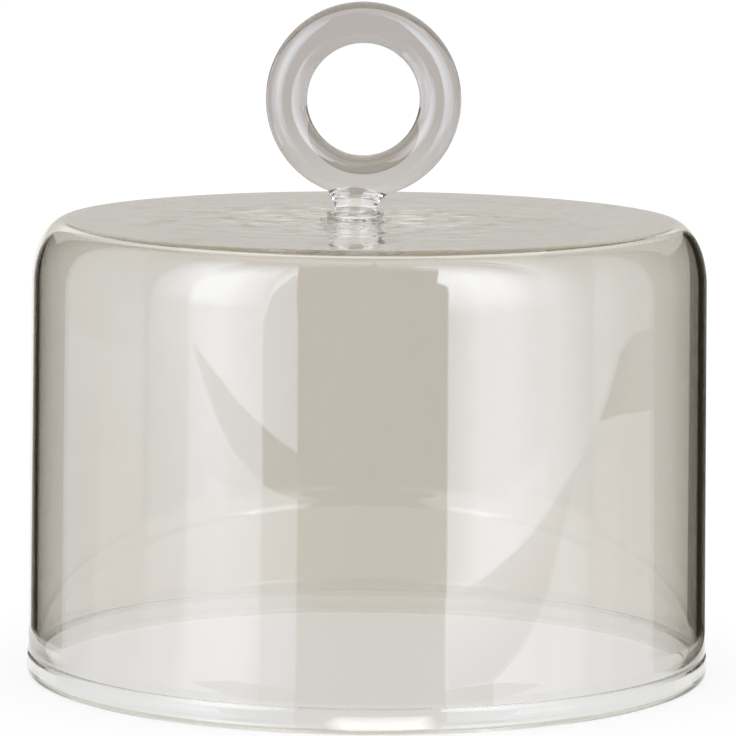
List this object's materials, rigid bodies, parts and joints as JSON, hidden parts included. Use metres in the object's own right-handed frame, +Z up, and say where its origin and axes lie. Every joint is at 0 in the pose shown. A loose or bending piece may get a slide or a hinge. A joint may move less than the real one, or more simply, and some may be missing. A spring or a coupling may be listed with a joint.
{
  "type": "glass food cover",
  "caption": "Straight-sided smoked glass bell with a flat crown, round shoulder and beaded rim, lifted by a clear glass finger ring fused on top, to cover food on a plate or stand.",
  "frame": {"origin": "middle of the rim's circle, on the surface that the cover stands on", "axes": "+Z up along the bell's axis, the ring stands in the XZ plane, -Y towards the viewer"},
  "size_m": [0.2, 0.2, 0.1969],
  "materials": {
    "smoked_glass": "blown, clear gloss",
    "clear_glass": "fire polished"
  },
  "bodies": {
    "root": {"bell": "smoked_glass", "weld_pad": "clear_glass", "stem": "clear_glass", "weld_collar": "clear_glass", "ring": "clear_glass"}
  },
  "joints": []
}
